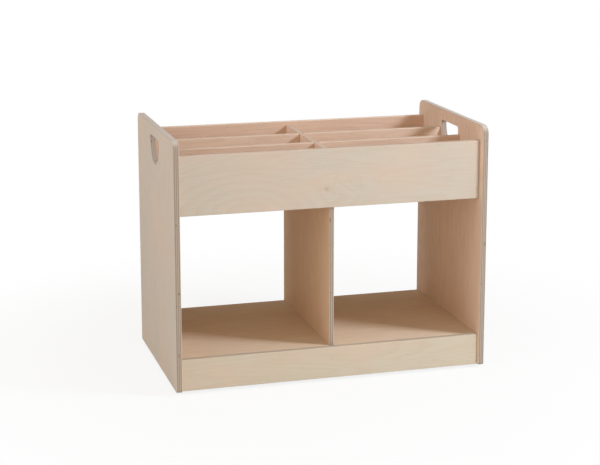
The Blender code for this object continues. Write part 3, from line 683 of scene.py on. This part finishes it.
def screw():
    """Grid of a screw whose head hangs below 0: point, shank, then z = recess(x, y) - dome(r),
    dome(r) = SCREW_HEAD * sqrt(1 - (DOME_SHARE * r / SCREW_HEAD_RADIUS) ** 2)."""
    r = np.linspace(SCREW_HEAD_RADIUS, CAP_RADIUS, DOME_ROWS)
    height = -SCREW_HEAD * np.sqrt(1 - (DOME_SHARE * r / SCREW_HEAD_RADIUS) ** 2)
    shank = [(CAP_RADIUS, SCREW_LENGTH), (SCREW_SHANK_RADIUS, SCREW_LENGTH - SCREW_POINT),
             (SCREW_SHANK_RADIUS, 0.0), (SCREW_HEAD_RADIUS, 0.0)]
    grid = swept(np.concatenate([shank, np.stack([r, height], axis=-1)]), SCREW_TURNS)
    reach = np.abs(grid[..., :2])
    arm = reach.min(axis=-1) < RECESS_WIDTH / 2
    inside = np.hypot(reach[..., 0], reach[..., 1]) < RECESS_RADIUS
    head = grid[..., 2] < 0
    grid[..., 2] += RECESS_DEPTH * (arm & inside & head)
    return grid


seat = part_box("base_shelf")[0][2] - GAP - PLATE_SHEET - GAP
for corner in CORNERS:
    plate = f"{corner}_castor_plate"
    below = FLAT * middle(plate) + np.array([0.0, 0.0, seat])
    for number, way in enumerate(SCREW_CORNERS):
        grid = screw() + below + np.array(way) * SCREW_SPACING / 2
        surface(f"{plate}_screw_{number}", grid, False, "cabinet", steel)
print("castor screws:", len(SCREW_CORNERS) * len(CORNERS))

# %% [markdown]
# The trolley stands on a plain white studio floor. Photographed on white paper, the floor would
# need so much light that the wood would be washed out. So for the rays that show the background
# the floor is pure white, and only near the trolley a little of its own shading, and with it a
# faint shadow, is left. For all other rays it is a pale matt floor that throws light back up.

# %% Floor
FLOOR_SIZE = 40.0
FLOOR_TONE = "#F2F0EC"
FLOOR_ROUGHNESS = 0.9
SHADOW_FADE, SHADOW_WHITE = (0.45, 1.3), 0.85


def white_stage(kind, tree, output, body, share):
    """Mixes a surface with pure white for the rays that show the background: camera rays, mirrored
    rays and rays that passed through. white = share * max(camera, glossy, transmission)."""
    path = add(tree, "LightPath").node.outputs
    seen = path["Is Camera Ray"]
    for ray in ("Is Glossy Ray", "Is Transmission Ray"):
        seen = add(tree, "Math", {"operation": "MAXIMUM"}, [seen, path[ray]])
    seen = add(tree, "Math", {"operation": "MULTIPLY"}, [seen, share])
    white = add(tree, kind, None, {"Color": linear("#FFFFFF"), "Strength": 1.0})
    tree.links.new(add(tree, "MixShader", None, [seen, body, white]), output)


floor_mesh = bpy.data.meshes.new("floor")
half = FLOOR_SIZE / 2
floor_mesh.from_pydata([(-half, -half, 0), (half, -half, 0), (half, half, 0), (-half, half, 0)],
                       [], [(0, 1, 2, 3)])
floor = bpy.data.objects.new("floor", floor_mesh)
scene.collection.objects.link(floor)
material, tree, shader = new_material("white_studio_floor")
shader.inputs["Base Color"].default_value = linear(FLOOR_TONE)
shader.inputs["Roughness"].default_value = FLOOR_ROUGHNESS
point = add(tree, "TexCoord", out="Object")
distance = add(tree, "VectorMath", {"operation": "LENGTH"}, [point], "Value")
share = add(tree, "MapRange", SMOOTH, [distance, *SHADOW_FADE, SHADOW_WHITE, 1.0])
white_stage("Emission", tree, tree.nodes["Material Output"].inputs["Surface"],
            shader.outputs[0], share)
floor.data.materials.append(material)
print("floor:", FLOOR_SIZE, "m wide")

# %% [markdown]
# Round the trolley is a dim warm surround, brighter in front than behind, as in a room with pale
# walls and a window behind the camera. It fills the shadows in the bays. A picture of a studio
# could light the scene too, but two strengths and a tone are easier to match to the photograph.
# For the camera the surround is pure white, as the floor is.

# %% Surround
SURROUND_FRONT, SURROUND_BACK = 0.50, 0.20
SURROUND_TONE = "#FFEFD6"

world = bpy.data.worlds.new("white_surround")
scene.world = world
world.use_nodes = True
tree = world.node_tree
ambient = tree.nodes["Background"]
ambient.inputs["Color"].default_value = linear(SURROUND_TONE)
direction = add(tree, "TexCoord", out="Object")
backwards = add(tree, "SeparateXYZ", None, [direction], "Y")
strength = add(tree, "MapRange", None, [backwards, -1.0, 1.0, SURROUND_FRONT, SURROUND_BACK])
tree.links.new(strength, ambient.inputs["Strength"])
white_stage("Background", tree, tree.nodes["World Output"].inputs["Surface"],
            ambient.outputs[0], 1.0)
print("surround:", SURROUND_FRONT, "in front and", SURROUND_BACK, "behind")

# %% [markdown]
# Five soft boxes light the trolley. The cool key stands on the right, a little in front, and throws
# the slanting shadows into the bins and bays. A large box on the left lights the side panel, and a
# weak warm fill from the front left reaches into the bays. The front boards and the back boards
# have a box of their own each. The key and the fill are kept off the front boards, as a studio
# does with flags: otherwise the right side panel would shade their ends. Light linking does the
# work of the flags without their shadows.

# %% Lamps
KEY_TONE, FILL_TONE, LAMP_TONE = "#E0EEFF", "#FFF4E6", "#EAF2FF"
TARGET = (0.0, 0.0, 0.35)
FRONT_BOARDS = ("front_bin_panel", "front_plinth")
BACK_BOARDS = ("back_bin_panel", "back_plinth")
LAMPS = {  # place and size in metres, watts, tone, and the boards it lights alone or leaves out
    "key": ((2.15, -1.32, 2.02), 0.6, 70.0, KEY_TONE, "EXCLUDE", FRONT_BOARDS),
    "front": ((1.10, -2.20, 1.60), 0.6, 45.5, LAMP_TONE, "INCLUDE", FRONT_BOARDS),
    "left": ((-2.60, -0.10, 1.85), 2.0, 36.0, LAMP_TONE, None, ()),
    "fill": ((-2.20, -1.90, 1.30), 1.6, 10.0, FILL_TONE, "EXCLUDE", FRONT_BOARDS),
    "back": ((0.70, 2.40, 1.60), 1.0, 36.0, LAMP_TONE, "INCLUDE", BACK_BOARDS),
}


def soft_light(name, place, size, watts, tone, reach, boards):
    """A square soft box at a place, turned to face TARGET. With reach INCLUDE it lights only the
    boards, and with EXCLUDE everything but them."""
    data = bpy.data.lights.new(name, "AREA")
    data.size = size
    data.energy = watts
    data.color = linear(tone)[:3]
    lamp = bpy.data.objects.new(name, data)
    lamp.location = place
    x, y, z = np.array(TARGET) - np.array(place)
    lamp.rotation_euler = (math.atan2(math.hypot(x, y), -z), 0.0, math.atan2(-x, y))
    scene.collection.objects.link(lamp)
    if reach:
        lit = bpy.data.collections.new(f"{name}_light_reach")
        for board in boards:
            lit.objects.link(nodes[board])
        for member in lit.collection_objects:
            member.light_linking.link_state = reach
        lamp.light_linking.receiver_collection = lit


for name, lamp in LAMPS.items():
    soft_light(name, *lamp)
scene.view_settings.view_transform = "Standard"
print("lamps:", list(LAMPS))
